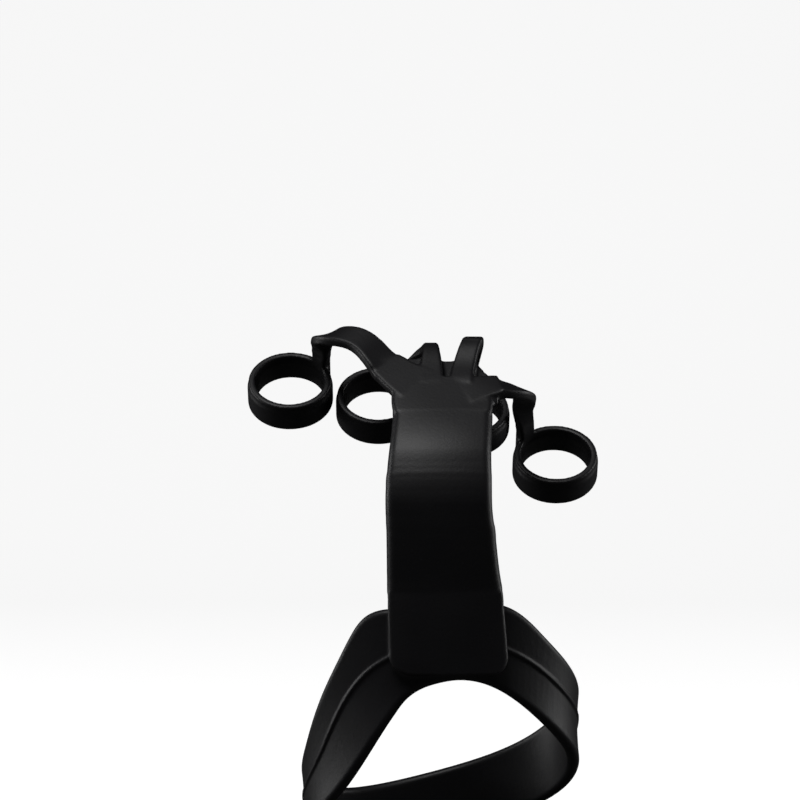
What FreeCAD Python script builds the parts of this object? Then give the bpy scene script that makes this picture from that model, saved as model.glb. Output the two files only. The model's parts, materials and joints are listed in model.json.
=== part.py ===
import FreeCAD, Part
import math
import os
import Sketcher

# Finger exerciser: a soft silicone moulding worn on a loosely closed right hand.
# Frame, millimetres: +Z from the wrist to the knuckles, -Y out of the back of the hand, +X towards
# the little finger, origin at the middle of the wrist opening.
# One sheet holds every size; every sub-part is a body of its own.

Vec = FreeCAD.Vector
doc = FreeCAD.newDocument("finger_exerciser")
sheet = doc.addObject("Spreadsheet::Sheet", "sizes")
sheet_row = 0


def put(name, value):
    """Write one number into the sheet under its own alias."""
    global sheet_row
    sheet_row += 1
    cell = "B%d" % sheet_row
    sheet.set("A%d" % sheet_row, "'" + name)
    sheet.set(cell, "%g" % value)
    sheet.setAlias(cell, name)


def size(name):
    """Read one number back from the sheet."""
    return float(sheet.get(name))


# --- sizes ----------------------------------------------------------------------------------------

SIZES = {
    "wrist_half_x": 29.0,
    "wrist_half_y": 20.0,
    "band_thick": 3.0,
    "band_width": 15.5,
    "band_corner": 1.3,
    "ridge_proud": 0.4,
    "ridge_width": 0.7,
    "ridge_offset": 1.3,
    "flare_left_top": 4.4,
    "flare_left_low": 2.4,
    "flare_back_top": 1.2,
    "flare_right_top": 2.7,
    "strap_thick": 4.4,
    "pad_thick": 2.0,
    "sheet_thick": 2.2,
    "hub_top_thick": 2.4,
    "web_thick": 1.5,
    "web_lean_deg": 48.5,
    "web_y": -6.45,
    "web_z": 70.2,
    "loop_bore_radius": 8.0,
    "loop_wall": 2.15,
    "loop_length": 6.0,
    "loop_edge": 0.8,
    "loop_lean_deg": 43.0,
    "tongue_reach": 1.8,
    "tongue_width": 4.6,
    "tongue_thick": 2.6,
    "stem_corner": 0.6,
}

# Height of the middle line of the wrist band at every 30 degrees round the wrist.
# The first value is at the back of the hand, and they go on to the right.
BAND_HEIGHTS = [12.0, 9.6, 0.2, -8.5, -17.0, -24.0, -29.0, -32.0, -31.5, -26.5, -15.0, 5.6]

# Where the band widens: size of the flare, angle round the wrist, spread in degrees,
# and the edge that it moves (1 = upper).
FLARES = [
    ("flare_left_top", -21.0, 11.0, 1),
    ("flare_left_low", -42.0, 20.0, -1),
    ("flare_back_top", 0.0, 14.0, 1),
    ("flare_right_top", 22.0, 14.0, 1),
]

# Stations along a strip: x, y, z of the middle of its thickness, its width, and the radius
# that its face is bowed to.
STRAP_FOOT = [
    (2.2, -24.9, 6.0, 19.0, 44.0),
    (1.95, -24.93, 6.9, 23.6, 44.0),
    (1.65, -24.97, 8.4, 26.2, 44.0),
    (1.45, -25.0, 11.0, 26.9, 44.0),
    (1.1, -25.08, 17.0, 26.7, 44.0),
    (0.75, -25.15, 23.4, 26.1, 44.0),
]
FOOT_SHEET = [
    (0.75, -22.9, 22.55, 26.1, 40.0),
    (0.72, -22.92, 22.95, 26.1, 40.0),
    (0.7, -22.95, 23.4, 26.1, 40.0),
]
STRAP_LOWER = [
    (0.65, -24.0, 25.4, 26.2, 42.0),
    (0.3, -24.5, 29.0, 25.6, 46.0),
    (0.0, -25.1, 33.5, 25.1, 52.0),
    (-0.3, -25.6, 38.5, 24.6, 60.0),
]
STRAP_UPPER = [
    (-0.35, -25.7, 39.7, 24.5, 60.0),
    (-0.7, -25.95, 43.5, 24.2, 64.0),
    (-0.75, -25.9, 47.0, 24.1, 64.0),
    (-0.65, -25.4, 50.2, 23.9, 60.0),
]
HUB_LOWER = [
    (-0.6, -24.75, 52.2, 23.7, 60.0),
    (-0.4, -22.6, 56.5, 23.3, 60.0),
    (0.0, -19.0, 61.0, 23.0, 70.0),
    (0.3, -14.9, 65.0, 22.9, 120.0),
]
HUB_UPPER = [
    (0.3, -16.0, 65.36, 22.6, 120.0),
    (0.2, -11.9, 69.0, 23.4, 240.0),
    (0.0, -7.5, 72.9, 21.0, 400.0),
]

# Stubs and stems: x, y, z of the middle line, width, and the direction across the width.
# A stub is the first millimetres of a stem, moulded to the hub. The stem follows after a
# narrow gap at its hinge.
STUBS = {
    "index": [
        (-5.6, -9.3, 71.3, 12.0, (0.66, 0.56, 0.5)),
        (-9.4, -6.7, 73.6, 10.4, (0.66, 0.56, 0.5)),
        (-12.2, -4.5, 75.7, 8.8, (0.64, 0.58, 0.5)),
    ],
    "middle": [
        (-2.2, -9.0, 71.6, 5.7, (1.0, 0.0, 0.0)),
        (-2.2, -5.6, 74.55, 5.3, (1.0, 0.0, 0.0)),
        (-2.2, -2.8, 77.1, 4.8, (1.0, 0.0, 0.0)),
        (-2.2, -0.7, 78.9, 4.2, (1.0, 0.0, 0.0)),
        (-2.25, 1.1, 80.0, 3.7, (1.0, 0.0, 0.0)),
    ],
    "ring": [
        (4.5, -9.0, 71.6, 5.7, (1.0, -0.1, 0.0)),
        (5.1, -5.6, 74.55, 5.3, (1.0, -0.1, 0.0)),
        (5.8, -2.8, 77.2, 5.1, (1.0, -0.1, 0.0)),
        (6.5, -0.8, 79.5, 4.9, (1.0, -0.1, 0.0)),
        (7.1, 0.9, 81.0, 4.8, (1.0, -0.1, 0.0)),
    ],
    "little": [
        (5.4, -11.2, 69.6, 9.2, (-0.4, 0.68, 0.6)),
        (9.4, -10.15, 70.55, 8.0, (-0.4, 0.7, 0.6)),
        (12.7, -9.4, 71.05, 7.0, (-0.4, 0.74, 0.54)),
    ],
}
STEMS = {
    "index": [
        (-13.4, -3.7, 76.8, 8.3, (0.62, 0.6, 0.5)),
        (-16.9, -1.4, 80.5, 7.6, (0.5, 0.7, 0.5)),
        (-20.8, 0.8, 82.8, 6.8, (0.3, 0.75, 0.6)),
        (-24.8, 3.2, 83.1, 6.2, (0.35, 0.85, 0.4)),
        (-27.5, 6.4, 82.4, 5.4, (0.7, 0.6, 0.0)),
        (-28.2, 10.6, 80.5, 4.8, (0.75, -0.3, -0.5)),
        (-28.28, 12.13, 78.87, 4.6, (0.64, -0.56, -0.52)),
    ],
    "middle": [
        (-2.35, 2.7, 80.4, 3.6, (1.0, 0.0, 0.0)),
        (-2.8, 5.1, 79.8, 3.8, (1.0, 0.05, 0.0)),
        (-4.3, 7.9, 78.2, 4.2, (0.95, -0.2, -0.15)),
        (-6.1, 10.3, 76.2, 4.5, (0.75, -0.5, -0.4)),
        (-6.78, 11.78, 74.77, 4.6, (0.57, -0.6, -0.56)),
    ],
    "ring": [
        (7.6, 2.5, 81.8, 4.8, (1.0, 0.0, 0.0)),
        (7.9, 4.8, 81.9, 4.7, (1.0, 0.0, 0.0)),
        (7.7, 8.8, 80.2, 4.6, (1.0, 0.1, 0.0)),
        (6.85, 12.7, 76.2, 4.6, (1.0, 0.0, 0.0)),
        (6.73, 14.11, 74.6, 4.6, (1.0, 0.0, 0.0)),
    ],
    "little": [
        (14.2, -8.9, 70.75, 6.7, (-0.4, 0.83, 0.4)),
        (17.2, -6.9, 70.2, 6.2, (-0.35, 0.9, 0.25)),
        (19.1, -4.0, 69.4, 5.8, (-0.6, 0.75, 0.1)),
        (19.6, 0.0, 67.8, 5.3, (-0.85, 0.5, -0.1)),
        (19.5, 5.4, 65.9, 4.9, (-0.88, 0.1, -0.35)),
        (20.1, 10.3, 63.1, 4.6, (-0.72, -0.48, -0.48)),
        (20.3, 11.8, 61.54, 4.6, (-0.67, -0.54, -0.51)),
    ],
}
STEM_THICK = 2.4

# Lower layer under the hub's raised face: half outline in its own leaning plane (x, distance up the slope).
WEB_LEFT = [(-11.2, -8.4), (-11.2, -2.0), (-12.2, 4.0), (-12.6, 13.2)]
WEB_RIGHT = [(12.4, 3.2), (11.8, -2.0), (11.3, -5.0), (11.3, -8.4)]
WEB_SCALLOPS = [
    ((-12.6, 13.2), (-9.2, 11.2), (-4.6, 11.2)),
    ((0.1, 10.3), (2.2, 10.0), (4.4, 11.2)),
    ((8.4, 9.6), (10.1, 6.4), (12.4, 3.2)),
]
WEB_NOTCHES = [((-4.4, 8.6), (0.0, 8.6)), ((4.4, 8.6), (8.2, 8.6))]

# Finger loops: middle of each ring, and the angle round it at which its stem arrives
# (0 = +X side, 90 = top).
LOOPS = {
    "index": (-35.6, 12.0, 70.0, 40.0),
    "middle": (-14.6, 12.0, 66.5, 35.0),
    "ring": (6.4, 11.5, 63.4, 88.0),
    "little": (27.4, 11.5, 52.5, 138.0),
}

BROAD_STRIPS = {
    "strap_foot": [("pad", STRAP_FOOT, "pad_thick")],
    "strap_root": [("sheet", FOOT_SHEET, "sheet_thick")],
    "strap_lower": [("run", STRAP_LOWER, "strap_thick")],
    "strap_upper": [("run", STRAP_UPPER, "strap_thick")],
    "hub_plate": [("base", HUB_LOWER, "strap_thick"), ("face", HUB_UPPER, "hub_top_thick")],
}

for size_name, size_value in SIZES.items():
    put(size_name, size_value)
put("stem_thick", STEM_THICK)
for index, height in enumerate(BAND_HEIGHTS):
    put("band_height_%d" % index, height)
for label, runs in BROAD_STRIPS.items():
    for run_name, stations, thick_name in runs:
        for number, station in enumerate(stations):
            put("%s_%s_%d_wide" % (label, run_name, number), station[3])
            put("%s_%s_%d_bow" % (label, run_name, number), station[4])
for finger in STEMS:
    for number, station in enumerate(STEMS[finger]):
        put("%s_stem_run_%d_wide" % (finger, number), station[3])
    for number, station in enumerate(STUBS[finger]):
        put("hub_plate_stub_%s_%d_wide" % (finger, number), station[3])
    for axis_name, value in zip("xyz", LOOPS[finger]):
        put("%s_loop_%s" % (finger, axis_name), value)
doc.recompute()


# --- helpers --------------------------------------------------------------------------------------


def new_body(label):
    """Start a sub-part."""
    body = doc.addObject("PartDesign::Body", label)
    body.Label = label
    return body


def origin_plane(body, role):
    """One of the three planes of the body's own origin."""
    for feature in body.Origin.OriginFeatures:
        if feature.Role == role:
            return feature
    raise ValueError(role)


def placed_sketch(body, name, where, across, along):
    """An empty sketch at `where`: its x runs across the strip and its normal runs along it."""
    along = Vec(*along).normalize()
    across = Vec(*across)
    across = (across - along * across.dot(along)).normalize()
    outward = along.cross(across)
    sketch = body.newObject("Sketcher::SketchObject", name)
    sketch.AttachmentSupport = (origin_plane(body, "XY_Plane"), [""])
    sketch.MapMode = "FlatFace"
    turn = FreeCAD.Rotation(across, outward, along, "ZXY")
    sketch.AttachmentOffset = FreeCAD.Placement(Vec(*where), turn)
    return sketch


def bind(sketch, kind, arguments, value, name, expression):
    """Add a dimension and tie it to the sheet."""
    sketch.addConstraint(Sketcher.Constraint(kind, *arguments, value))
    sketch.renameConstraint(sketch.ConstraintCount - 1, name)
    sketch.setExpression("Constraints." + name, expression)


def rounded_section(sketch, width, thick, corner, names):
    """A rectangle with round corners, centred on the sketch origin."""
    half_w = width / 2
    half_t = thick / 2
    flat_w = half_w - corner
    flat_t = half_t - corner
    ends = [
        (-flat_w, -half_t), (flat_w, -half_t),
        (half_w, -flat_t), (half_w, flat_t),
        (flat_w, half_t), (-flat_w, half_t),
        (-half_w, flat_t), (-half_w, -flat_t),
    ]
    centres = [(flat_w, -flat_t, -90), (flat_w, flat_t, 0), (-flat_w, flat_t, 90), (-flat_w, -flat_t, 180)]
    for side in range(4):
        start = Vec(*ends[2 * side], 0)
        stop = Vec(*ends[2 * side + 1], 0)
        sketch.addGeometry(Part.LineSegment(start, stop), False)
        centre_x, centre_y, angle = centres[side]
        circle = Part.Circle(Vec(centre_x, centre_y, 0), Vec(0, 0, 1), corner)
        arc = Part.ArcOfCircle(circle, math.radians(angle), math.radians(angle + 90))
        sketch.addGeometry(arc, False)
    rules = []
    for edge in range(8):
        rules.append(Sketcher.Constraint("Tangent", edge, 2, (edge + 1) % 8, 1))
    rules.append(Sketcher.Constraint("Horizontal", 0))
    rules.append(Sketcher.Constraint("Vertical", 2))
    rules.append(Sketcher.Constraint("Horizontal", 4))
    rules.append(Sketcher.Constraint("Vertical", 6))
    rules.append(Sketcher.Constraint("Equal", 1, 3))
    rules.append(Sketcher.Constraint("Equal", 3, 5))
    rules.append(Sketcher.Constraint("Symmetric", 1, 3, 5, 3, -1, 1))
    sketch.addConstraint(rules)
    bind(sketch, "DistanceX", (6, 1, 2, 1), width, "wide", names[0])
    bind(sketch, "DistanceY", (0, 1, 4, 2), thick, "deep", names[1])
    bind(sketch, "Radius", (1,), corner, "corner", names[2])


def rectangle(sketch, width, thick, name):
    """A plain rectangle centred on the sketch origin."""
    half_w = width / 2
    half_t = thick / 2
    corners = [(-half_w, -half_t), (half_w, -half_t), (half_w, half_t), (-half_w, half_t)]
    for side in range(4):
        start = Vec(*corners[side], 0)
        stop = Vec(*corners[(side + 1) % 4], 0)
        sketch.addGeometry(Part.LineSegment(start, stop), False)
    joins = [Sketcher.Constraint("Coincident", side, 2, (side + 1) % 4, 1) for side in range(4)]
    joins += [Sketcher.Constraint("Horizontal", 0), Sketcher.Constraint("Vertical", 1)]
    joins += [Sketcher.Constraint("Horizontal", 2), Sketcher.Constraint("Vertical", 3)]
    joins.append(Sketcher.Constraint("Symmetric", 0, 1, 2, 1, -1, 1))
    sketch.addConstraint(joins)
    bind(sketch, "DistanceX", (0, 1, 0, 2), width, "wide", name)


def bowed_section(sketch, width, thick, bow, names):
    """A strip bowed outwards to radius `bow`, with fully round edges."""
    middle = bow - thick / 2
    half_angle = math.asin((width / 2 - thick / 2) / middle)
    centre = Vec(0, -middle, 0)
    axis = Vec(0, 0, 1)
    start = math.pi / 2 - half_angle
    stop = math.pi / 2 + half_angle
    outer = Part.ArcOfCircle(Part.Circle(centre, axis, bow), start, stop)
    inner = Part.ArcOfCircle(Part.Circle(centre, axis, bow - thick), start, stop)
    right_centre = centre + Vec(middle * math.cos(start), middle * math.sin(start), 0)
    left_centre = centre + Vec(middle * math.cos(stop), middle * math.sin(stop), 0)
    right = Part.ArcOfCircle(Part.Circle(right_centre, axis, thick / 2), start - math.pi, start)
    left = Part.ArcOfCircle(Part.Circle(left_centre, axis, thick / 2), stop, stop + math.pi)
    for curve in (outer, left, inner, right):
        sketch.addGeometry(curve, False)
    rules = [
        Sketcher.Constraint("Coincident", 0, 3, 2, 3),
        Sketcher.Constraint("PointOnObject", 0, 3, -2),
        Sketcher.Constraint("Tangent", 0, 2, 1, 1),
        Sketcher.Constraint("Tangent", 1, 2, 2, 2),
        Sketcher.Constraint("Tangent", 2, 1, 3, 1),
        Sketcher.Constraint("Tangent", 3, 2, 0, 1),
        Sketcher.Constraint("Horizontal", 1, 3, 3, 3),
    ]
    sketch.addConstraint(rules)
    bind(sketch, "DistanceX", (1, 3, 3, 3), width - thick, "wide", "%s - %s" % (names[0], names[1]))
    bind(sketch, "DistanceY", (0, 3, -1, 1), middle, "rise", "%s - %s / 2" % (names[2], names[1]))
    bind(sketch, "Radius", (0,), bow, "bow", names[2])
    bind(sketch, "Radius", (1,), thick / 2, "edge", names[1] + " / 2")


def path_directions(points):
    """Direction of a smooth curve through the points, at each point."""
    curve = Part.BSplineCurve()
    curve.interpolate(Points=[Vec(*point) for point in points])
    directions = []
    for point in points:
        tangent = curve.tangent(curve.parameter(Vec(*point)))[0]
        directions.append((tangent.x, tangent.y, tangent.z))
    return directions


def loft(body, name, sketches):
    """Skin a row of sections."""
    feature = body.newObject("PartDesign::AdditiveLoft", name)
    feature.Profile = (sketches[0], [""])
    feature.Sections = [(sketch, [""]) for sketch in sketches[1:]]
    body.Tip = feature
    return feature


def bowed_strip(body, name, stations, thick_name):
    """A broad strip through stations of x, y, z, width and bow radius; a long one is skinned in two runs."""
    thick = size(thick_name)
    directions = path_directions([(0,) + station[1:3] for station in stations])
    sketches = []
    for number, station in enumerate(stations):
        tag = "%s_%s_%d" % (body.Label, name, number)
        sketch = placed_sketch(body, tag, station[:3], (-1, 0, 0), directions[number])
        names = ("sizes.%s_wide" % tag, "sizes." + thick_name, "sizes.%s_bow" % tag)
        bowed_section(sketch, station[3], thick, station[4], names)
        sketches.append(sketch)
    loft(body, name, sketches[:4])
    if len(sketches) > 4:
        loft(body, name + "_rest", sketches[3:])


def flat_strip(body, name, stations, thick_name):
    """A narrow strip through stations of x, y, z, width and direction across."""
    thick = size(thick_name)
    directions = path_directions([station[:3] for station in stations])
    sketches = []
    for number, station in enumerate(stations):
        tag = "%s_%s_%d" % (body.Label, name, number)
        sketch = placed_sketch(body, tag, station[:3], station[4], directions[number])
        names = ("sizes.%s_wide" % tag, "sizes." + thick_name, "sizes.stem_corner")
        rounded_section(sketch, station[3], thick, size("stem_corner"), names)
        sketches.append(sketch)
    return loft(body, name, sketches)


# --- wrist band -----------------------------------------------------------------------------------

mid_x = size("wrist_half_x") + size("band_thick") / 2
mid_y = size("wrist_half_y") + size("band_thick") / 2
knots = len(BAND_HEIGHTS)
heights = Part.BSplineCurve()
heights.interpolate(
    Points=[Vec(mid_x * math.sin(2 * math.pi * k / knots), -mid_y * math.cos(2 * math.pi * k / knots),
                size("band_height_%d" % k)) for k in range(knots)],
    PeriodicFlag=True,
)
first = heights.FirstParameter
period = heights.LastParameter - first

band = new_body("wrist_band")


def band_sections(from_part, to_part, count, name):
    """Sections of the band and of its parting ridge, between two parts of the way round."""
    band_row = []
    ridge_row = []
    for step in range(count + 1):
        part_way = from_part + (to_part - from_part) * step / count
        parameter = first + period * (part_way % 1.0)
        point = heights.value(parameter)
        along = heights.tangent(parameter)[0]
        outward = Vec(point.x / mid_x ** 2, point.y / mid_y ** 2, 0).normalize()
        across = outward.cross(along)
        angle = math.degrees(math.atan2(point.x / mid_x, -point.y / mid_y))
        width = size("band_width")
        width_formula = "sizes.band_width"
        shift = 0
        for flare, peak, spread, edge in FLARES:
            share = math.exp(-((angle - peak) / spread) ** 2)
            width += size(flare) * share
            width_formula += " + sizes.%s * %.5f" % (flare, share)
            shift += edge * size(flare) * share / 2
        tag = "%s_%d" % (name, step)
        section = placed_sketch(band, "band_" + tag, point + across * shift, across, along)
        names = (width_formula, "sizes.band_thick", "sizes.band_corner")
        rounded_section(section, width, size("band_thick"), size("band_corner"), names)
        band_row.append(section)
        lift = size("band_thick") / 2 + size("ridge_proud") / 2 - 0.15
        ridge_point = point + outward * lift + across * size("ridge_offset")
        ridge = placed_sketch(band, "ridge_" + tag, ridge_point, across, along)
        rectangle(ridge, size("ridge_width"), size("ridge_proud") + 0.3, "sizes.ridge_width")
        ridge_row.append(ridge)
    return band_row, ridge_row


# The ring is skinned in two runs that meet on the palm side: a long one over the back of
# the wrist and a short one.
long_band, long_ridge = band_sections(-0.42, 0.42, 40, "back")
short_band, short_ridge = band_sections(0.42, 0.58, 4, "palm")
loft(band, "band_back", long_band)
loft(band, "band_palm", short_band)
loft(band, "ridge_back", long_ridge)
loft(band, "ridge_palm", short_ridge)
doc.recompute()

# --- strap ----------------------------------------------------------------------------------------

for label, runs in BROAD_STRIPS.items():
    body = new_body(label)
    for run_name, stations, thick_name in runs:
        bowed_strip(body, run_name, stations, thick_name)
    if label == "hub_plate":
        for finger in STUBS:
            flat_strip(body, "stub_" + finger, STUBS[finger], "stem_thick")
doc.recompute()

# --- lower layer of the hub -----------------------------------------------------------------------

web = new_body("hub_web")
lean = math.radians(size("web_lean_deg"))
web_sketch = placed_sketch(
    web, "web_outline", (0, size("web_y"), size("web_z")), (1, 0, 0), (0, -math.cos(lean), math.sin(lean))
)
outline = []
outline += [("line", a, b) for a, b in zip(WEB_LEFT, WEB_LEFT[1:])]
outline.append(("arc",) + WEB_SCALLOPS[0])
for number, notch in enumerate(WEB_NOTCHES):
    outline.append(("line", WEB_SCALLOPS[number][2], notch[0]))
    outline.append(("line", notch[0], notch[1]))
    outline.append(("line", notch[1], WEB_SCALLOPS[number + 1][0]))
    outline.append(("arc",) + WEB_SCALLOPS[number + 1])
outline += [("line", a, b) for a, b in zip(WEB_RIGHT, WEB_RIGHT[1:])]
outline.append(("line", WEB_RIGHT[-1], WEB_LEFT[0]))
for piece in outline:
    points = [Vec(*point, 0) for point in piece[1:]]
    if piece[0] == "line":
        web_sketch.addGeometry(Part.LineSegment(*points), False)
    else:
        web_sketch.addGeometry(Part.Arc(*points), False)
web_pad = web.newObject("PartDesign::Pad", "web_pad")
web_pad.Profile = (web_sketch, [""])
web_pad.Midplane = True
web_pad.setExpression("Length", "sizes.web_thick")
web.Tip = web_pad
doc.recompute()

# --- stems and loops ------------------------------------------------------------------------------

for finger in STEMS:
    stem = new_body(finger + "_stem")
    flat_strip(stem, "run", STEMS[finger], "stem_thick")

for finger, (centre_x, centre_y, centre_z, arrive) in LOOPS.items():
    ring = new_body(finger + "_loop")
    circle_sketch = ring.newObject("Sketcher::SketchObject", finger + "_circles")
    circle_sketch.AttachmentSupport = (origin_plane(ring, "XY_Plane"), [""])
    circle_sketch.MapMode = "FlatFace"
    bore = size("loop_bore_radius")
    rim = bore + size("loop_wall")
    circle_sketch.addGeometry(Part.Circle(Vec(0, 0, 0), Vec(0, 0, 1), bore), False)
    circle_sketch.addGeometry(Part.Circle(Vec(0, 0, 0), Vec(0, 0, 1), rim), False)
    circle_sketch.addConstraint(Sketcher.Constraint("Coincident", 0, 3, -1, 1))
    circle_sketch.addConstraint(Sketcher.Constraint("Coincident", 1, 3, -1, 1))
    bind(circle_sketch, "Radius", (0,), bore, "bore", "sizes.loop_bore_radius")
    bind(circle_sketch, "Radius", (1,), rim, "rim", "sizes.loop_bore_radius + sizes.loop_wall")
    ring_pad = ring.newObject("PartDesign::Pad", finger + "_ring")
    ring_pad.Profile = (circle_sketch, [""])
    ring_pad.Midplane = True
    ring_pad.setExpression("Length", "sizes.loop_length")
    doc.recompute()
    rounding = ring.newObject("PartDesign::Fillet", finger + "_rounding")
    round_edges = []
    for number, edge in enumerate(ring_pad.Shape.Edges):
        if edge.Length > bore:
            round_edges.append("Edge%d" % (number + 1))
    rounding.Base = (ring_pad, round_edges)
    rounding.Radius = size("loop_edge")
    rounding.setExpression("Radius", "sizes.loop_edge")
    ring.Tip = rounding
    turn = math.radians(arrive)
    radial = Vec(math.cos(turn), math.sin(turn), 0)
    tangent = Vec(-math.sin(turn), math.cos(turn), 0)
    middle = bore + size("tongue_thick") / 2 + 0.25
    tongue_sketch = placed_sketch(ring, finger + "_tongue_section", radial * middle, tangent, (0, 0, 1))
    names = ("sizes.tongue_width", "sizes.tongue_thick", "sizes.stem_corner")
    rounded_section(tongue_sketch, size("tongue_width"), size("tongue_thick"), size("stem_corner"), names)
    tongue = ring.newObject("PartDesign::Pad", finger + "_tongue")
    tongue.Profile = (tongue_sketch, [""])
    tongue.setExpression("Length", "sizes.loop_length / 2 + sizes.tongue_reach")
    ring.Tip = tongue
    loop_lean = math.radians(size("loop_lean_deg"))
    toward_knuckle = Vec(0, -math.sin(loop_lean), math.cos(loop_lean))
    across = Vec(1, 0, 0)
    rotation = FreeCAD.Rotation(across, toward_knuckle.cross(across), toward_knuckle, "ZXY")
    ring.Placement = FreeCAD.Placement(Vec(centre_x, centre_y, centre_z), rotation)
    for axis_name in "xyz":
        ring.setExpression("Placement.Base." + axis_name, "sizes.%s_loop_%s" % (finger, axis_name))

doc.recompute()

# --- checks and STEP files ------------------------------------------------------------------------

bodies = [item for item in doc.Objects if item.TypeId == "PartDesign::Body"]
for item in doc.Objects:
    if "Invalid" in item.State or "Error" in item.State:
        raise RuntimeError("%s did not compute: %s" % (item.Label, item.State))
for body in bodies:
    if body.Shape.isNull() or not body.Shape.isValid() or len(body.Shape.Solids) != 1:
        raise RuntimeError("%s has no single valid solid" % body.Label)
os.makedirs("parts", exist_ok=True)
for body in bodies:
    body.Shape.exportStep("parts/%s.step" % body.Label)
    box = body.Shape.BoundBox
    text = "%-14s volume %8.1f  x %6.1f %6.1f  y %6.1f %6.1f  z %6.1f %6.1f"
    print(text % (body.Label, body.Shape.Volume, box.XMin, box.XMax, box.YMin, box.YMax, box.ZMin, box.ZMax))
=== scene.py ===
import json
import math

import bmesh
import bpy
import numpy as np
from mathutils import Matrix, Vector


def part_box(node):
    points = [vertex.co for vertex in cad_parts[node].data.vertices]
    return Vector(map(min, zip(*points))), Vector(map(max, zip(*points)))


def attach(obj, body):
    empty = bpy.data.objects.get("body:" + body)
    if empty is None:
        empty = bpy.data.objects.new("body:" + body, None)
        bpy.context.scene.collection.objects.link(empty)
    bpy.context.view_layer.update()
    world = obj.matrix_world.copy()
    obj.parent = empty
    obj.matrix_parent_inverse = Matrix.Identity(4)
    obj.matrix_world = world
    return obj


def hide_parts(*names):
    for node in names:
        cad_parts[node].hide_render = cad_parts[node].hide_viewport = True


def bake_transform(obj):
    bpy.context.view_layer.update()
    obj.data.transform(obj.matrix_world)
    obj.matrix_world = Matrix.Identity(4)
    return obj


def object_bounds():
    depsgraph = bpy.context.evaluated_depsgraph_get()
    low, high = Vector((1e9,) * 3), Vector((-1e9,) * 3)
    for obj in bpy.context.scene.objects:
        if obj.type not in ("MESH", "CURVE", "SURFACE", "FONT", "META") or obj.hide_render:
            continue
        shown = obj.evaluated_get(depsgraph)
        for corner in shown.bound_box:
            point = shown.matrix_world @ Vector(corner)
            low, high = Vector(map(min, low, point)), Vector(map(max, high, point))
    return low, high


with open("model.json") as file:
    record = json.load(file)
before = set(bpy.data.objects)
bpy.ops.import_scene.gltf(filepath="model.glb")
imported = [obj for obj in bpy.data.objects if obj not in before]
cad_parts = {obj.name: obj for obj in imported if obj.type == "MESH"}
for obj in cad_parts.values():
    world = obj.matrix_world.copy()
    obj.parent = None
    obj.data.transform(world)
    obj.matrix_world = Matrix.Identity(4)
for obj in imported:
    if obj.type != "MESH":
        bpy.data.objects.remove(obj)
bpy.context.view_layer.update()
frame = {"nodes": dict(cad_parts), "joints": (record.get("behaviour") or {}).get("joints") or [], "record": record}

import openvdb
from mathutils import Vector
from mathutils.bvhtree import BVHTree

FINGERS = ("index", "middle", "ring", "little")
JOINTS = {joint["name"]: joint for joint in frame["joints"]}
CORE = ["strap_foot", "strap_root", "strap_lower", "strap_upper", "hub_plate", "hub_web"]
HUB = ["hub_plate", "hub_web"]

# The moulding is one continuous skin, made in millimetres and turned into metres piece by piece.
VOXEL = 0.26
# FILLET is the radius of inner corners. RIDGE_REACH is half the thickness of what the band loses
# while its corners are filled, so that its thin ridge stays crisp.
FILLET = 0.65
RIDGE_REACH = 0.55
SMOOTH_ROUNDS = 6

# A plug is the end of a node, copied across the gap of a joint.
# These are how much of the end is copied, and how far past the joint it goes.
PLUG_DEPTH = 2.0
PLUG_PAST = 0.35

# Near a bend the strap is evened out further.
SOFT_ROUNDS = 90
SOFT_REACH = 6.0
STRAP_DEPTH = 7.0
EASE_BROAD = 2.2
EASE_NARROW = 0.5

# The skin is cut where a rigid stretch ends, at these heights or at these distances before a joint.
UP = np.array((0.0, 0.0, 1.0))
WRIST_CUT_BACK = 1.5
STRETCH_FROM = 30.0
STRETCH_TO = 47.0
HUB_CUT = np.array((0.0, -21.5, 58.2))
HUB_CUT_DIRECTION = np.array((0.0, 0.6, 0.8))
ROOT_CUT_BACK = {"index": 0.6, "middle": -0.4, "ring": 2.0, "little": 0.8}
TIP_CUT_BACK = 3.6
CUT_BAND = 3 * VOXEL
STRAP_REACH = 20.0
ROOT_REACH = 12.0
TIP_REACH = 6.0

# A place on the palm side of the wrist band, used to pick the wrist piece of the skin.
PALM_PLACE = np.array((0.0, 23.0, -32.0))


# --- geometry helpers -----------------------------------------------------------------------------


def node_mesh(name):
    """Vertices and triangles of a CAD node."""
    mesh = frame["nodes"][name].data
    points = np.zeros(len(mesh.vertices) * 3)
    mesh.vertices.foreach_get("co", points)
    mesh.calc_loop_triangles()
    corners = np.zeros(len(mesh.loop_triangles) * 3, int)
    mesh.loop_triangles.foreach_get("vertices", corners)
    return points.reshape(-1, 3) * 1000, corners.reshape(-1, 3)


def joint_point(name):
    """Where a joint sits."""
    return np.array(JOINTS[name]["pos_m"]) * 1000


def cap_near(name, place):
    """Nearest point of a node's surface, its outward direction and its distance."""
    points, faces = node_mesh(name)
    tree = BVHTree.FromPolygons(points.tolist(), faces.tolist())
    where, normal, _, gap = tree.find_nearest(Vector(place))
    return np.array(where), np.array(normal), gap


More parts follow.
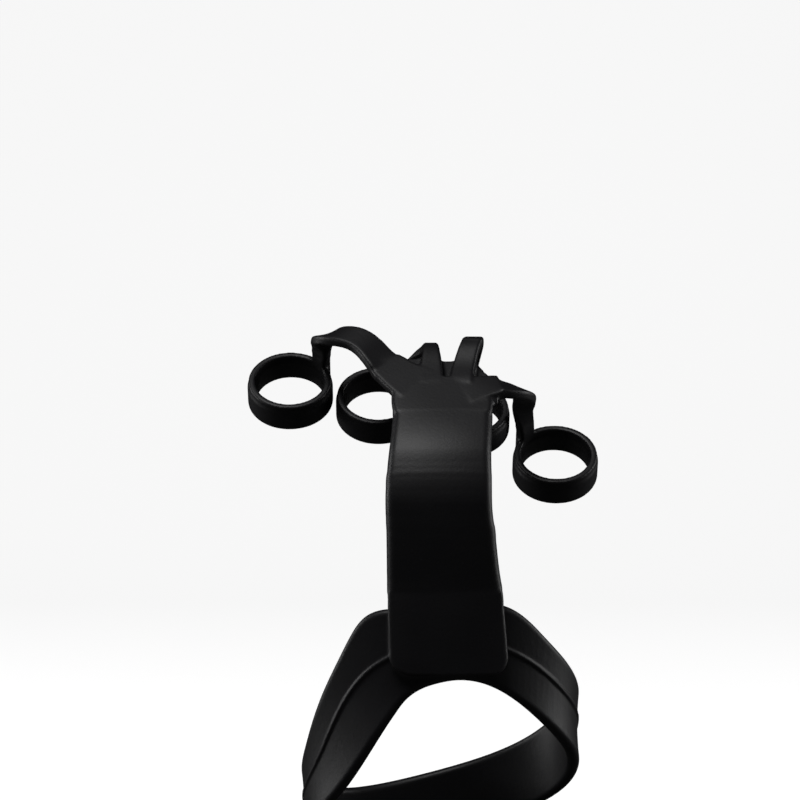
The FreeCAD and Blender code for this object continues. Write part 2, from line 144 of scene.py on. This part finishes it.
def clipped(points, faces, place, direction):
    """The part of a closed mesh on the far side of a plane, closed again."""
    shape = bmesh.new()
    vertices = [shape.verts.new(point) for point in points]
    shape.verts.index_update()
    for face in faces:
        corners = [vertices[corner] for corner in face]
        if shape.faces.get(corners) is None:
            shape.faces.new(corners)
    bmesh.ops.remove_doubles(shape, verts=shape.verts, dist=1e-4)
    bmesh.ops.bisect_plane(
        shape,
        geom=shape.verts[:] + shape.edges[:] + shape.faces[:],
        plane_co=place,
        plane_no=direction,
        clear_inner=True,
        dist=1e-5,
    )
    rim = [edge for edge in shape.edges if edge.is_boundary]
    bmesh.ops.triangle_fill(shape, use_beauty=True, use_dissolve=False, edges=rim)
    bmesh.ops.triangulate(shape, faces=shape.faces)
    shape.verts.index_update()
    out_points = np.array([vertex.co for vertex in shape.verts])
    out_faces = np.array([[vertex.index for vertex in face.verts] for face in shape.faces])
    shape.free()
    return out_points, out_faces


def part_near(points, faces, place):
    """The connected part of a mesh that holds the vertex nearest to a place."""
    label = np.arange(len(points))
    while True:
        lowest = label.copy()
        for corner in range(3):
            for other in range(3):
                np.minimum.at(lowest, faces[:, corner], label[faces[:, other]])
        lowest = lowest[lowest]
        if (lowest == label).all():
            break
        label = lowest
    used = np.zeros(len(points), bool)
    used[faces.ravel()] = True
    distance = np.linalg.norm(points - place, axis=1)
    distance[~used] = np.inf
    wanted = label[distance.argmin()]
    return points, faces[label[faces[:, 0]] == wanted]


def plug(name, place):
    """Copies of the end of a node that faces a place, pushed a little past that place."""
    where, normal, gap = cap_near(name, place)
    points, faces = node_mesh(name)
    points, faces = clipped(points, faces, where - normal * PLUG_DEPTH, normal)
    points, faces = part_near(points, faces, where)
    reach = gap + PLUG_PAST
    steps = max(2, math.ceil(reach / (0.8 * FILLET)))
    return [(points + normal * reach * step / steps, faces) for step in range(1, steps + 1)]


def joined(meshes):
    """One soup of vertices and triangles."""
    points = []
    faces = []
    count = 0
    for mesh_points, mesh_faces in meshes:
        points.append(mesh_points)
        faces.append(mesh_faces + count)
        count += len(mesh_points)
    return np.vstack(points), np.vstack(faces)


def distance_grid(points, triangles=None, quads=None):
    """Level set of a closed shape."""
    arguments = {
        "transform": openvdb.createLinearTransform(voxelSize=VOXEL),
        "halfWidth": 2.2 * FILLET / VOXEL + 1.5,
    }
    if triangles is not None:
        arguments["triangles"] = np.ascontiguousarray(triangles, dtype=np.uint32)
    if quads is not None:
        arguments["quads"] = np.ascontiguousarray(quads, dtype=np.uint32)
    points = np.ascontiguousarray(points, dtype=np.float32)
    return openvdb.FloatGrid.createLevelSetFromPolygons(points, **arguments)


def grown(grid, amounts):
    """A level set moved outwards by each amount in turn."""
    for amount in amounts:
        points, quads = grid.convertToQuads(isovalue=amount)
        grid = distance_grid(points, quads=quads)
    return grid


def filleted(points, triangles):
    """Level set of a soup whose inner corners and narrow gaps are filled to a radius."""
    return grown(distance_grid(points, triangles=triangles), (FILLET, -FILLET))


def plain_band():
    """The wrist band without its thin moulded ridge, as triangles."""
    points, faces = node_mesh("wrist_band")
    opened = grown(distance_grid(points, triangles=faces), (-RIDGE_REACH,))
    points, quads = opened.convertToQuads(isovalue=RIDGE_REACH)
    return points, np.vstack([quads[:, [0, 1, 2]], quads[:, [0, 2, 3]]])


def united(grids):
    """Union of level sets, through plain arrays."""
    low = np.min([grid.evalActiveVoxelBoundingBox()[0] for grid in grids], axis=0) - 2
    high = np.max([grid.evalActiveVoxelBoundingBox()[1] for grid in grids], axis=0) + 2
    corner = tuple(int(value) for value in low)
    total = None
    for grid in grids:
        block = np.zeros(tuple(high - low + 1), np.float32)
        grid.copyToArray(block, ijk=corner)
        total = block if total is None else np.minimum(total, block)
    result = openvdb.FloatGrid(float(total.max()))
    result.copyFromArray(total, ijk=corner, tolerance=0.0)
    result.transform = openvdb.createLinearTransform(voxelSize=VOXEL)
    result.gridClass = openvdb.GridClass.LEVEL_SET
    return result


def smoothed(points, quads, rounds, strength=0.5):
    """Evens out a quad mesh by moving each vertex towards its neighbours' middle, without shrinking it."""
    edges = np.vstack([quads[:, [k, (k + 1) % 4]] for k in range(4)])
    edges = np.unique(np.sort(edges, axis=1), axis=0)
    degree = np.bincount(edges.ravel(), minlength=len(points)).astype(float)[:, None]
    moved = points.astype(float).copy()
    for number in range(2 * rounds):
        total = np.empty_like(moved)
        for column in range(3):
            total[:, column] = np.bincount(edges[:, 0], moved[edges[:, 1], column], len(moved))
            total[:, column] += np.bincount(edges[:, 1], moved[edges[:, 0], column], len(moved))
        factor = strength if number % 2 == 0 else -strength * 1.02
        moved += factor * (total / np.maximum(degree, 1) - moved)
    return moved


def softened(points, quads, place, reach):
    """The strap near a bend, evened out more strongly; the effect fades out towards its reach."""
    along = np.abs(points[:, 2] - place[2])
    near = (along < reach) & (points[:, 1] < place[1] + STRAP_DEPTH)
    chosen = quads[near[quads].all(axis=1)]
    used, local = np.unique(chosen, return_inverse=True)
    soft = smoothed(points[used], local.reshape(-1, 4), SOFT_ROUNDS)
    weight = np.clip(2 * (1 - along[used] / reach), 0, 1)[:, None]
    moved = points.copy()
    moved[used] += weight * (soft - points[used])
    return moved


def profile(heights, points, width):
    """Mean depth of points at some heights, weighed by a bell of a given width."""
    weight = np.exp(-0.5 * ((heights[:, None] - points[:, 2]) / width) ** 2)
    return (weight @ points[:, 1]) / weight.sum(axis=1)


def eased(points, place, reach):
    """The strap near a bend, each cross-section moved in depth so that its outer face runs smoothly."""
    heights = np.linspace(place[2] - reach, place[2] + reach, 81)
    along = np.abs(points[:, 2] - place[2])
    strap = points[:, 1] < place[1] + STRAP_DEPTH
    ribbon = points[strap & (along < reach + 3 * EASE_BROAD) & (np.abs(points[:, 0]) < 3.0)]
    wide = np.linspace(ribbon[:, 2].min(), ribbon[:, 2].max(), 81)
    middle = np.interp(ribbon[:, 2], wide, profile(wide, ribbon, EASE_NARROW))
    outer = ribbon[ribbon[:, 1] < middle]
    fade = np.clip(2 * (1 - np.abs(heights - place[2]) / reach), 0, 1)
    shift = fade * (profile(heights, outer, EASE_BROAD) - profile(heights, outer, EASE_NARROW))
    near = strap & (along < reach)
    moved = points.copy()
    moved[near, 1] += np.interp(points[near, 2], heights, shift)
    return moved


# --- the skin -------------------------------------------------------------------------------------

wrist_place = joint_point("wrist_bend")
knuckle_place = joint_point("knuckle_bend")
lower_box = [np.array(corner) * 1000 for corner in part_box("strap_lower")]
upper_box = [np.array(corner) * 1000 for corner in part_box("strap_upper")]
stretch_place = np.array((0.0, lower_box[0][1] + 2.2, (lower_box[1][2] + upper_box[0][2]) / 2))

core = [plain_band()] + [node_mesh(name) for name in CORE]
core += plug("strap_foot", wrist_place + (0, -1.5, 0))
core += plug("strap_root", wrist_place + (0, 0.7, 0))
core += plug("strap_lower", wrist_place)
core += plug("strap_lower", stretch_place)
core += plug("strap_upper", stretch_place)
core += plug("strap_upper", knuckle_place)
core += plug("hub_plate", knuckle_place)
grids = [filleted(*joined(core)), distance_grid(*node_mesh("wrist_band"))]
for finger in FINGERS:
    stem = finger + "_stem"
    loop = finger + "_loop"
    root_place = joint_point(finger + "_stem_bend")
    tip_place = joint_point(finger + "_loop_bend")
    soup = [node_mesh(name) for name in HUB + [stem, loop]]
    soup += plug("hub_plate", root_place) + plug(stem, root_place)
    soup += plug(stem, tip_place) + plug(loop, tip_place)
    grids.append(filleted(*joined(soup)))
skin_points, skin_quads = united(grids).convertToQuads(isovalue=0.0)
skin_points = smoothed(skin_points, skin_quads, SMOOTH_ROUNDS)
for bend_place in (stretch_place, knuckle_place):
    skin_points = eased(skin_points, bend_place, SOFT_REACH)
for bend_place in (wrist_place, stretch_place, knuckle_place):
    skin_points = softened(skin_points, skin_quads, bend_place, SOFT_REACH)

# --- cut into pieces at the joints ----------------------------------------------------------------

# Each cut is a place, a direction and how far from the place it acts.
strap_y = stretch_place[1]
cuts = {
    "wrist_top": (np.array((0.0, strap_y, wrist_place[2] - WRIST_CUT_BACK)), UP, STRAP_REACH),
    "stretch_low": (np.array((0.0, strap_y, STRETCH_FROM)), UP, STRAP_REACH),
    "stretch_high": (np.array((0.0, strap_y, STRETCH_TO)), UP, STRAP_REACH),
    "hub_start": (HUB_CUT, HUB_CUT_DIRECTION, STRAP_REACH),
}
roots = {}
tips = {}
for finger in FINGERS:
    place = joint_point(finger + "_stem_bend")
    direction = cap_near("hub_plate", place)[1]
    place = place - direction * ROOT_CUT_BACK[finger]
    roots[finger] = (place, direction)
    cuts[finger + "_root"] = (place, direction, ROOT_REACH)
    place = joint_point(finger + "_loop_bend")
    direction = cap_near(finger + "_stem", place)[1]
    tips[finger] = (place, direction)
    cuts[finger + "_tip"] = (place - direction * TIP_CUT_BACK, direction, TIP_REACH)

whole = bpy.data.meshes.new("whole")
whole.from_pydata(skin_points.tolist(), [], skin_quads[:, ::-1].tolist())
shape = bmesh.new()
shape.from_mesh(whole)
shape.normal_update()
kept_normal = shape.verts.layers.float_vector.new("kept_normal")
for vertex in shape.verts:
    vertex[kept_normal] = vertex.normal
shape.faces.ensure_lookup_table()
centres = skin_points[skin_quads].mean(axis=1)
near_faces = {}
for name, (place, direction, reach) in cuts.items():
    off_plane = np.abs((centres - place) @ direction)
    near = (off_plane < CUT_BAND) & (np.linalg.norm(centres - place, axis=1) < reach)
    near_faces[name] = [shape.faces[int(number)] for number in np.flatnonzero(near)]
made_faces = []


def edge_loops(edges):
    """Connected groups of edges, each with whether it closes on itself."""
    ends = {}
    for edge in edges:
        for vertex in edge.verts:
            ends.setdefault(vertex, []).append(edge)
    left = dict.fromkeys(edges)
    found = []
    while left:
        group = [next(iter(left))]
        del left[group[0]]
        for member in group:
            for vertex in member.verts:
                for other in ends[vertex]:
                    if other in left:
                        del left[other]
                        group.append(other)
        corners = dict.fromkeys(vertex for edge in group for vertex in edge.verts)
        found.append((group, list(corners), all(len(ends[vertex]) == 2 for vertex in corners)))
    return found


def meets_cut(face, place, direction, reach):
    """Whether a face lies near the plane and the place of a cut."""
    away = np.array(face.calc_center_median()) - place
    return abs(away @ direction) < CUT_BAND and np.linalg.norm(away) < reach


for name, (place, direction, reach) in cuts.items():
    faces = [face for face in dict.fromkeys(near_faces[name] + made_faces) if face.is_valid]
    faces = [face for face in faces if meets_cut(face, place, direction, reach)]
    touched = dict.fromkeys(edge for face in faces for edge in face.edges)
    corners = dict.fromkeys(vertex for face in faces for vertex in face.verts)
    cut = bmesh.ops.bisect_plane(
        shape, geom=list(corners) + list(touched) + faces, plane_co=place, plane_no=direction, dist=1e-5
    )
    made_faces += [item for item in cut["geom"] if isinstance(item, bmesh.types.BMFace)]
    seam = [item for item in cut["geom_cut"] if isinstance(item, bmesh.types.BMEdge)]
    nearest = None
    for group, vertices, closes in edge_loops(seam):
        points = np.array([vertex.co for vertex in vertices])
        distance = np.linalg.norm(points - place, axis=1).min()
        if closes and (nearest is None or distance < nearest[0]):
            nearest = (distance, group)
    bmesh.ops.split_edges(shape, edges=nearest[1])


def islands(shape):
    """Connected groups of faces."""
    shape.faces.index_update()
    seen = [False] * len(shape.faces)
    groups = []
    for face in shape.faces:
        if seen[face.index]:
            continue
        seen[face.index] = True
        group = [face]
        for member in group:
            for edge in member.edges:
                for other in edge.link_faces:
                    if not seen[other.index]:
                        seen[other.index] = True
                        group.append(other)
        groups.append(group)
    return groups


def material(name):
    """Matte black moulded silicone with fine grain and a little dust."""
    made = bpy.data.materials.new(name)
    made.use_nodes = True
    tree = made.node_tree
    nodes = tree.nodes
    link = tree.links.new
    surface = nodes["Principled BSDF"]
    place = nodes.new("ShaderNodeTexCoord")
    broad = nodes.new("ShaderNodeTexNoise")
    broad.inputs["Scale"].default_value = 70.0
    broad.inputs["Detail"].default_value = 4.0
    grain = nodes.new("ShaderNodeTexNoise")
    grain.inputs["Scale"].default_value = 1500.0
    grain.inputs["Detail"].default_value = 3.0
    dust = nodes.new("ShaderNodeTexVoronoi")
    dust.inputs["Scale"].default_value = 1500.0
    for texture in (broad, grain, dust):
        link(place.outputs["Object"], texture.inputs["Vector"])
    tone = nodes.new("ShaderNodeMix")
    tone.data_type = "RGBA"
    tone.inputs["A"].default_value = (0.0050, 0.0047, 0.0060, 1.0)
    tone.inputs["B"].default_value = (0.0085, 0.0080, 0.0102, 1.0)
    link(broad.outputs["Fac"], tone.inputs["Factor"])
    speck = nodes.new("ShaderNodeMapRange")
    speck.inputs["From Min"].default_value = 0.10
    speck.inputs["From Max"].default_value = 0.04
    link(dust.outputs["Distance"], speck.inputs["Value"])
    rare = nodes.new("ShaderNodeMath")
    rare.operation = "GREATER_THAN"
    rare.inputs[1].default_value = 0.8
    pick = nodes.new("ShaderNodeSeparateColor")
    link(dust.outputs["Color"], pick.inputs["Color"])
    link(pick.outputs["Red"], rare.inputs[0])
    amount = nodes.new("ShaderNodeMath")
    amount.operation = "MULTIPLY"
    link(speck.outputs["Result"], amount.inputs[0])
    link(rare.outputs["Value"], amount.inputs[1])
    dusty = nodes.new("ShaderNodeMix")
    dusty.data_type = "RGBA"
    dusty.inputs["B"].default_value = (0.06, 0.06, 0.066, 1.0)
    link(amount.outputs["Value"], dusty.inputs["Factor"])
    link(tone.outputs["Result"], dusty.inputs["A"])
    link(dusty.outputs["Result"], surface.inputs["Base Color"])
    rough = nodes.new("ShaderNodeMapRange")
    rough.inputs["To Min"].default_value = 0.43
    rough.inputs["To Max"].default_value = 0.53
    link(broad.outputs["Fac"], rough.inputs["Value"])
    link(rough.outputs["Result"], surface.inputs["Roughness"])
    surface.inputs["Specular IOR Level"].default_value = 0.5
    bump = nodes.new("ShaderNodeBump")
    bump.inputs["Strength"].default_value = 0.25
    bump.inputs["Distance"].default_value = 0.0001
    link(grain.outputs["Fac"], bump.inputs["Height"])
    link(bump.outputs["Normal"], surface.inputs["Normal"])
    return made


silicone = material("black_silicone")
groups = islands(shape)
group_centres = [np.array([face.calc_center_median() for face in group]) for group in groups]


def take_piece(name, seed):
    """The island of the skin nearest to a place, closed at its cuts, as an object."""
    distances = [np.linalg.norm(centres - seed, axis=1).min() for centres in group_centres]
    number = int(np.argmin(distances))
    index = {}
    points = []
    normals = []
    faces = []
    for face in groups[number]:
        corners = []
        for vertex in face.verts:
            if vertex not in index:
                index[vertex] = len(points)
                points.append(vertex.co / 1000)
                normals.append(vertex[kept_normal].normalized())
            corners.append(index[vertex])
        faces.append(corners)
    mesh = bpy.data.meshes.new(name)
    mesh.from_pydata(points, [], faces)
    closed = bmesh.new()
    closed.from_mesh(mesh)
    for rim, _, _ in edge_loops([edge for edge in closed.edges if edge.is_boundary]):
        bmesh.ops.triangle_fill(closed, use_beauty=True, use_dissolve=False, edges=rim)
    bmesh.ops.recalc_face_normals(closed, faces=closed.faces)
    closed.to_mesh(mesh)
    closed.free()
    mesh.shade_smooth()
    loop_normals = []
    for polygon in mesh.polygons:
        on_cap = polygon.index >= len(faces)
        for corner in polygon.vertices:
            loop_normals.append(polygon.normal if on_cap else normals[corner])
    mesh.normals_split_custom_set(loop_normals)
    mesh.materials.append(silicone)
    made = bpy.data.objects.new(name, mesh)
    bpy.context.scene.collection.objects.link(made)
    return made


wrist = take_piece("skin_wrist", PALM_PLACE)
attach(wrist, "wrist")
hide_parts("wrist_band", "strap_foot", "strap_root")

wrist_bend = take_piece("skin_wrist_bend", wrist_place)
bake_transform(wrist_bend)

stretch = take_piece("skin_stretch", stretch_place)
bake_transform(stretch)
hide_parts("strap_lower", "strap_upper")

knuckle = take_piece("skin_knuckle", knuckle_place)
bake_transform(knuckle)

hub_middle = sum((np.array(corner) * 500 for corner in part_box("hub_web")), np.zeros(3))
hub = take_piece("skin_hub", hub_middle)
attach(hub, "hub")
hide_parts("hub_plate", "hub_web")

bores = {mount["name"]: np.array(mount["pos_m"]) * 1000 for mount in frame["record"]["mounts"]}
for finger in FINGERS:
    place, direction = roots[finger]
    stem_cap = cap_near(finger + "_stem", joint_point(finger + "_stem_bend"))
    root = take_piece("skin_%s_root" % finger, stem_cap[0] - stem_cap[1] * 3.0)
    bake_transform(root)
    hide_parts(finger + "_stem")
    place, direction = tips[finger]
    tip = take_piece("skin_%s_tip" % finger, bores[finger + "_finger_bore"])
    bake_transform(tip)
    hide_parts(finger + "_loop")
shape.free()
bpy.data.meshes.remove(whole)

# --- floor, light and camera ----------------------------------------------------------------------

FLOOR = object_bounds()[0].z
GLOW = 1.0
ROOM_LIGHT = 0.010
SKY_LIGHT = 0.92
AIM = (-0.0095, -0.02, 0.0682)
PICTURE_WIDTH = 0.182
LENS = 135.0
SENSOR = 36.0

# Softboxes: place, width, height and power.
LAMPS = {
    "top": ((-0.22, -0.40, 0.90), 0.5, 0.4, 4.0),
    "left_strip": ((-0.75, 0.14, 0.12), 0.2, 0.7, 2.2),
    "right_strip": ((0.75, 0.14, 0.12), 0.25, 0.7, 2.4),
}


def studio_world():
    """Surroundings that are white to the camera and nearly dark to the object."""
    made = bpy.data.worlds.new("studio")
    made.use_nodes = True
    nodes = made.node_tree.nodes
    link = made.node_tree.links.new
    ray = nodes.new("ShaderNodeLightPath")
    strength = nodes.new("ShaderNodeMapRange")
    strength.inputs["To Min"].default_value = ROOM_LIGHT
    strength.inputs["To Max"].default_value = SKY_LIGHT
    link(ray.outputs["Is Camera Ray"], strength.inputs["Value"])
    background = nodes["Background"]
    background.inputs["Color"].default_value = (1.0, 1.0, 1.0, 1.0)
    link(strength.outputs["Result"], background.inputs["Strength"])
    return made


def backdrop_paint():
    """White paint that glows a little to the camera and throws hardly any light back on the object."""
    made = bpy.data.materials.new("backdrop_paint")
    made.use_nodes = True
    tree = made.node_tree
    nodes = tree.nodes
    link = tree.links.new
    nodes.remove(nodes["Principled BSDF"])
    noise = nodes.new("ShaderNodeTexNoise")
    noise.inputs["Scale"].default_value = 3.0
    white = nodes.new("ShaderNodeMix")
    white.data_type = "RGBA"
    white.inputs["A"].default_value = (0.86, 0.86, 0.86, 1.0)
    white.inputs["B"].default_value = (0.88, 0.88, 0.88, 1.0)
    link(noise.outputs["Fac"], white.inputs["Factor"])
    matte = nodes.new("ShaderNodeBsdfDiffuse")
    matte.inputs["Color"].default_value = (0.45, 0.45, 0.45, 1.0)
    glow = nodes.new("ShaderNodeEmission")
    glow.inputs["Strength"].default_value = GLOW
    link(white.outputs["Result"], glow.inputs["Color"])
    seen = nodes.new("ShaderNodeAddShader")
    link(matte.outputs["BSDF"], seen.inputs[0])
    link(glow.outputs["Emission"], seen.inputs[1])
    dim = nodes.new("ShaderNodeBsdfDiffuse")
    dim.inputs["Color"].default_value = (0.08, 0.08, 0.08, 1.0)
    ray = nodes.new("ShaderNodeLightPath")
    pick = nodes.new("ShaderNodeMixShader")
    link(ray.outputs["Is Camera Ray"], pick.inputs["Fac"])
    link(dim.outputs["BSDF"], pick.inputs[1])
    link(seen.outputs["Shader"], pick.inputs[2])
    link(pick.outputs["Shader"], nodes["Material Output"].inputs["Surface"])
    return made


def backdrop():
    """A pale floor that curves up into a pale wall."""
    outline = [(-1.6, 0.0), (0.9, 0.0)]
    radius = 0.5
    for step in range(1, 17):
        angle = math.pi / 2 * step / 16
        outline.append((0.9 + radius * math.sin(angle), radius * (1 - math.cos(angle))))
    outline.append((0.9 + radius, 2.6))
    points = []
    for side in (-2.6, 2.6):
        points += [(side, along, FLOOR + up) for along, up in outline]
    count = len(outline)
    faces = [(k, k + 1, count + k + 1, count + k) for k in range(count - 1)]
    mesh = bpy.data.meshes.new("backdrop")
    mesh.from_pydata(points, [], faces)
    mesh.shade_smooth()
    mesh.materials.append(backdrop_paint())
    made = bpy.data.objects.new("backdrop", mesh)
    bpy.context.scene.collection.objects.link(made)


def softbox(name, place, width, height, power):
    """A rectangular lamp turned to the object."""
    lamp = bpy.data.lights.new(name, "AREA")
    lamp.shape = "RECTANGLE"
    lamp.size = width
    lamp.size_y = height
    lamp.energy = power
    made = bpy.data.objects.new(name, lamp)
    made.location = place
    made.rotation_euler = (Vector(AIM) - Vector(place)).to_track_quat("-Z", "Y").to_euler()
    bpy.context.scene.collection.objects.link(made)


def camera():
    """A long lens square to the back of the hand."""
    data = bpy.data.cameras.new("camera")
    data.lens = LENS
    data.sensor_width = SENSOR
    made = bpy.data.objects.new("camera", data)
    made.location = (AIM[0], AIM[1] - PICTURE_WIDTH * LENS / SENSOR, AIM[2])
    made.rotation_euler = (math.pi / 2, 0.0, 0.0)
    bpy.context.scene.collection.objects.link(made)
    bpy.context.scene.camera = made


backdrop()
bpy.context.scene.world = studio_world()
for name, settings in LAMPS.items():
    softbox(name, *settings)
camera()
bpy.context.scene.view_settings.view_transform = "Standard"
